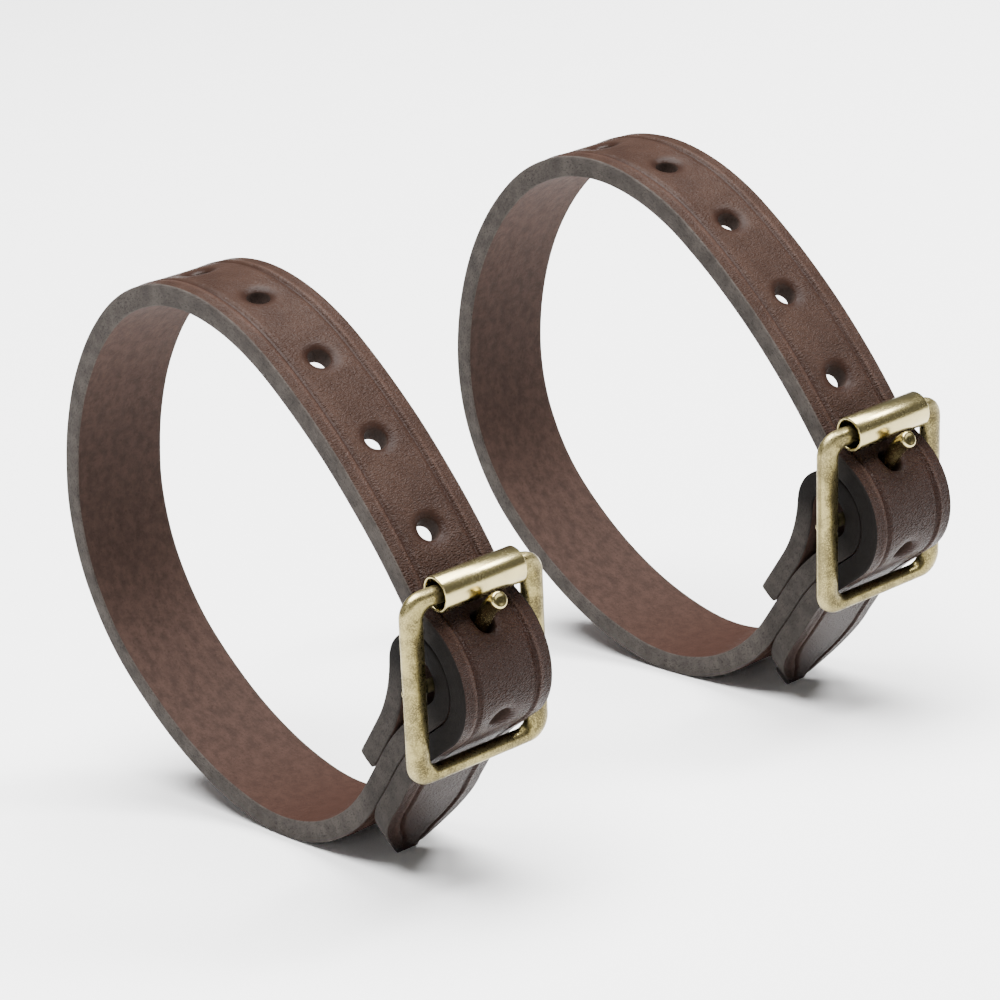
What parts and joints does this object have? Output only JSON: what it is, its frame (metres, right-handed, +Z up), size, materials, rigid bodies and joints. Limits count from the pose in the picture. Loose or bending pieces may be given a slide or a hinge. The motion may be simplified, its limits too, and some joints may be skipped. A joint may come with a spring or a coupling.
{
  "type": "hand grips",
  "caption": "Pair of leather buckle-strap hand grips, each a punched strap closed into a standing loop by a full roller buckle.",
  "frame": {"origin": "centre of the pair's bounding box in plan, on the floor that the loops and tail tips stand on", "axes": "+X from the loops towards the buckles, +Y from the left grip to the right grip along the strap's width, +Z up"},
  "size_m": [0.1245, 0.1244, 0.1039],
  "materials": {
    "strap_leather": "dark brown grain leather, satin, suede flesh side",
    "buckle_brass": "antique brass plate, worn bright on the ridges",
    "rivet_brass": "antique brass, satin"
  },
  "bodies": {
    "left_grip": {"left_strap": "strap_leather", "left_rivet_post": "rivet_brass", "left_rivet_cap": "rivet_brass"},
    "left_buckle": {"left_buckle_frame": "buckle_brass", "left_centre_bar": "buckle_brass"},
    "left_roller_body": {"left_roller": "buckle_brass"},
    "left_tongue_body": {"left_tongue": "buckle_brass"},
    "right_grip": {"right_strap": "strap_leather", "right_rivet_post": "rivet_brass", "right_rivet_cap": "rivet_brass"},
    "right_buckle": {"right_buckle_frame": "buckle_brass", "right_centre_bar": "buckle_brass"},
    "right_roller_body": {"right_roller": "buckle_brass"},
    "right_tongue_body": {"right_tongue": "buckle_brass"}
  },
  "joints": [
    {"name": "left_buckle_rock", "type": "hinge", "parent": "left_grip", "child": "left_buckle", "pos_m": [0.05087, -0.047, 0.04074], "axis": [0, 1, 0], "range_deg": [-1.5, 1.5]},
    {"name": "left_roller_spin", "type": "hinge", "parent": "left_buckle", "child": "left_roller_body", "pos_m": [0.05412, -0.047, 0.05683], "axis": [0, 1, 0], "continuous": true},
    {"name": "left_tongue_swing", "type": "hinge", "parent": "left_buckle", "child": "left_tongue_body", "pos_m": [0.05087, -0.047, 0.04074], "axis": [0, 1, 0], "range_deg": [-1.2, 1.2]},
    {"name": "right_buckle_rock", "type": "hinge", "parent": "right_grip", "child": "right_buckle", "pos_m": [0.05087, 0.047, 0.04074], "axis": [0, 1, 0], "range_deg": [-1.5, 1.5]},
    {"name": "right_roller_spin", "type": "hinge", "parent": "right_buckle", "child": "right_roller_body", "pos_m": [0.05412, 0.047, 0.05683], "axis": [0, 1, 0], "continuous": true},
    {"name": "right_tongue_swing", "type": "hinge", "parent": "right_buckle", "child": "right_tongue_body", "pos_m": [0.05087, 0.047, 0.04074], "axis": [0, 1, 0], "range_deg": [-1.2, 1.2]},
    {"name": "right_grip_apart", "type": "slide", "parent": "left_grip", "child": "right_grip", "axis": [0, 1, 0], "range_m": [0, 0.1]}
  ]
}
